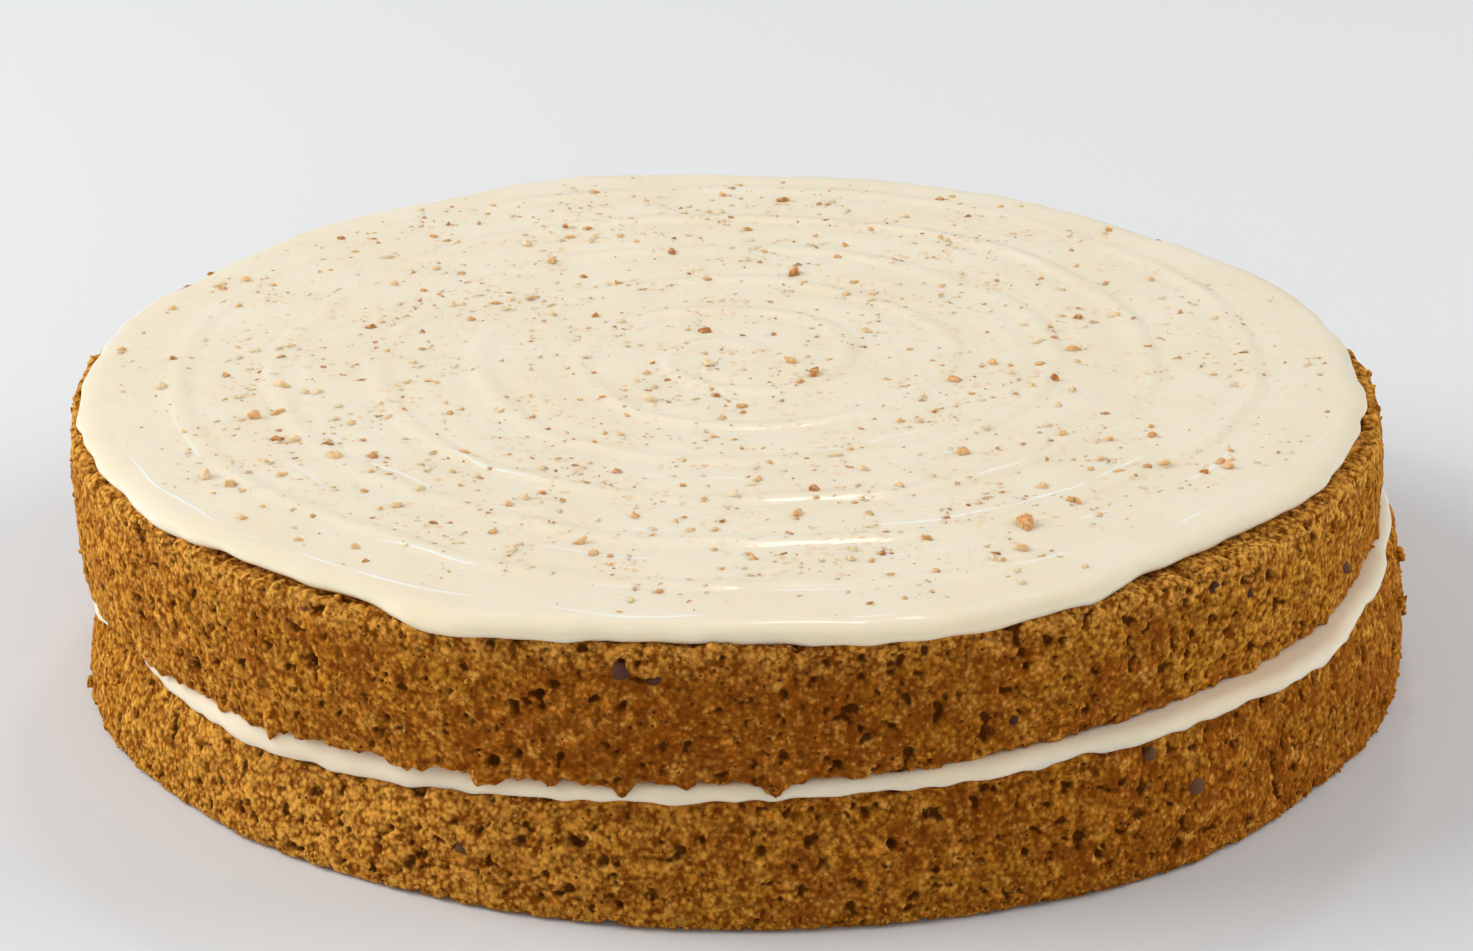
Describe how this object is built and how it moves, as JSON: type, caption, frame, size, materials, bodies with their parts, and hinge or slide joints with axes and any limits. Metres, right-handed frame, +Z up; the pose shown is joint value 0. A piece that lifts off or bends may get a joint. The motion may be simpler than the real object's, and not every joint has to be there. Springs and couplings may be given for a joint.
{
  "type": "carrot cake",
  "caption": "Round layered carrot cake: porous sponge layers with cream between them, swirled cream and chopped nuts on top.",
  "frame": {"origin": "middle of the flat underside, on the surface the cake stands on", "axes": "+Z up; -Y towards the side that faced the camera; +X to that side's right; the cake is round about +Z apart from its uneven edges"},
  "size_m": [0.288, 0.285, 0.0627],
  "materials": {
    "sponge": "matte, porous brown carrot sponge",
    "cream": "soft satin ivory cream cheese icing"
  },
  "bodies": {
    "root": {"bottom_sponge": "sponge", "cream_filling": "cream", "top_sponge": "sponge", "cream_topping": "cream"}
  },
  "joints": []
}
